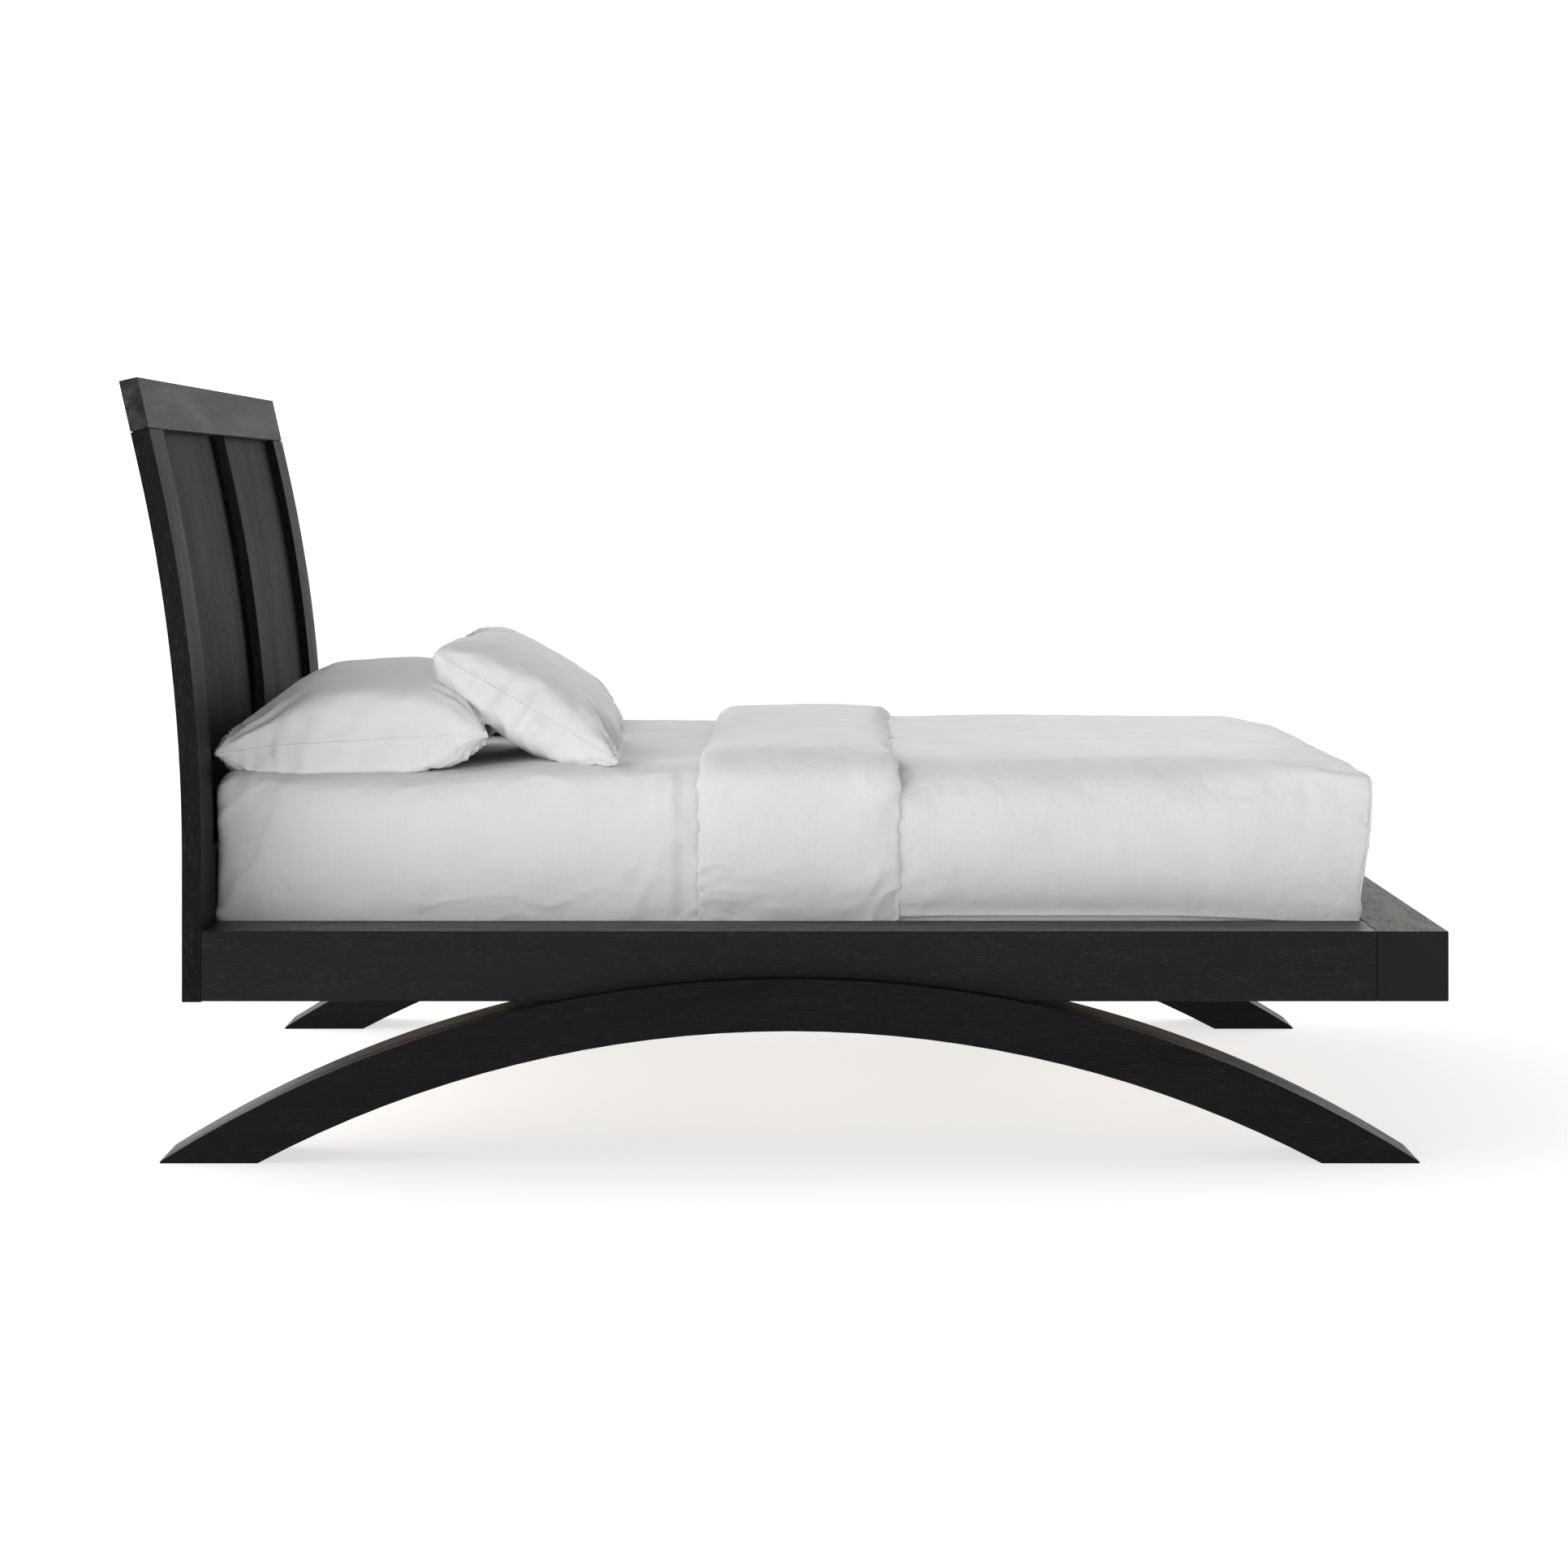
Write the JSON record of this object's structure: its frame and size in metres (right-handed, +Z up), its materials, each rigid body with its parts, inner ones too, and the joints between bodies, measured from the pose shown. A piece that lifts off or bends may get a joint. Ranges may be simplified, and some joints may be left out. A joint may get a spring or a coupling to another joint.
{
  "type": "sleigh bed",
  "caption": "Queen platform bed with a curved, back-leaning panelled headboard, wide ledge and arched side feet, made up with mattress, folded-back duvet and pillows.",
  "frame": {"origin": "on the floor under the middle of the whole bed's bounding box", "axes": "+X along the bed from head to foot, +Y to the left of a sleeper lying on their back, +Z up"},
  "size_m": [2.2977, 1.97, 1.353],
  "materials": {
    "stained_wood": "satin",
    "plain_wood": "matte",
    "bolt_steel": "satin",
    "mattress_cover": "matte",
    "duvet_cotton": "matte",
    "pillow_cotton": "matte"
  },
  "bodies": {
    "bed_frame": {"arch_left_core": "stained_wood", "arch_left_outer_plate": "stained_wood", "arch_right_core": "stained_wood", "arch_right_outer_plate": "stained_wood", "arch_stretcher_foot": "stained_wood", "arch_stretcher_head": "stained_wood", "bed_bolt_left_lower": "bolt_steel", "bed_bolt_left_upper": "bolt_steel", "bed_bolt_right_lower": "bolt_steel", "bed_bolt_right_upper": "bolt_steel", "center_beam": "plain_wood", "foot_rail_apron": "stained_wood", "foot_rail_end_cap_left": "stained_wood", "foot_rail_end_cap_right": "stained_wood", "foot_rail_fascia": "stained_wood", "foot_rail_ledge": "stained_wood", "head_cross_rail": "plain_wood", "headboard_bottom_rail": "stained_wood", "headboard_center_stile": "stained_wood", "headboard_panel_left": "stained_wood", "headboard_panel_right": "stained_wood", "headboard_post_left": "stained_wood", "headboard_post_right": "stained_wood", "headboard_top_rail": "stained_wood", "side_rail_left_apron": "stained_wood", "side_rail_left_arch_block": "plain_wood", "side_rail_left_cleat": "plain_wood", "side_rail_left_fascia": "stained_wood", "side_rail_left_head_block": "plain_wood", "side_rail_left_ledge": "stained_wood", "side_rail_right_apron": "stained_wood", "side_rail_right_arch_block": "plain_wood", "side_rail_right_cleat": "plain_wood", "side_rail_right_fascia": "stained_wood", "side_rail_right_head_block": "plain_wood", "side_rail_right_ledge": "stained_wood", "slat_01": "plain_wood", "slat_02": "plain_wood", "slat_03": "plain_wood", "slat_04": "plain_wood", "slat_05": "plain_wood", "slat_06": "plain_wood", "slat_07": "plain_wood", "slat_08": "plain_wood", "slat_09": "plain_wood", "slat_10": "plain_wood", "slat_11": "plain_wood", "slat_12": "plain_wood"},
    "mattress": {"mattress": "mattress_cover"},
    "duvet": {"duvet": "duvet_cotton"},
    "pillow_flat_left": {"pillow_flat_left": "pillow_cotton"},
    "pillow_flat_right": {"pillow_flat_right": "pillow_cotton"},
    "pillow_leaning_left": {"pillow_leaning_left": "pillow_cotton"},
    "pillow_leaning_right": {"pillow_leaning_right": "pillow_cotton"}
  },
  "joints": [
    {"name": "mattress_lift", "type": "slide", "parent": "bed_frame", "child": "mattress", "axis": [0, 0, 1], "range_m": [0, 0.25]},
    {"name": "duvet_lift", "type": "slide", "parent": "mattress", "child": "duvet", "axis": [0, 0, 1], "range_m": [0, 0.32]},
    {"name": "pillow_flat_left_lift", "type": "slide", "parent": "mattress", "child": "pillow_flat_left", "axis": [0, 0, 1], "range_m": [0, 0.25]},
    {"name": "pillow_leaning_left_lift", "type": "slide", "parent": "pillow_flat_left", "child": "pillow_leaning_left", "axis": [0, 0, 1], "range_m": [0, 0.25]},
    {"name": "pillow_flat_right_lift", "type": "slide", "parent": "mattress", "child": "pillow_flat_right", "axis": [0, 0, 1], "range_m": [0, 0.25]},
    {"name": "pillow_leaning_right_lift", "type": "slide", "parent": "pillow_flat_right", "child": "pillow_leaning_right", "axis": [0, 0, 1], "range_m": [0, 0.25]}
  ]
}
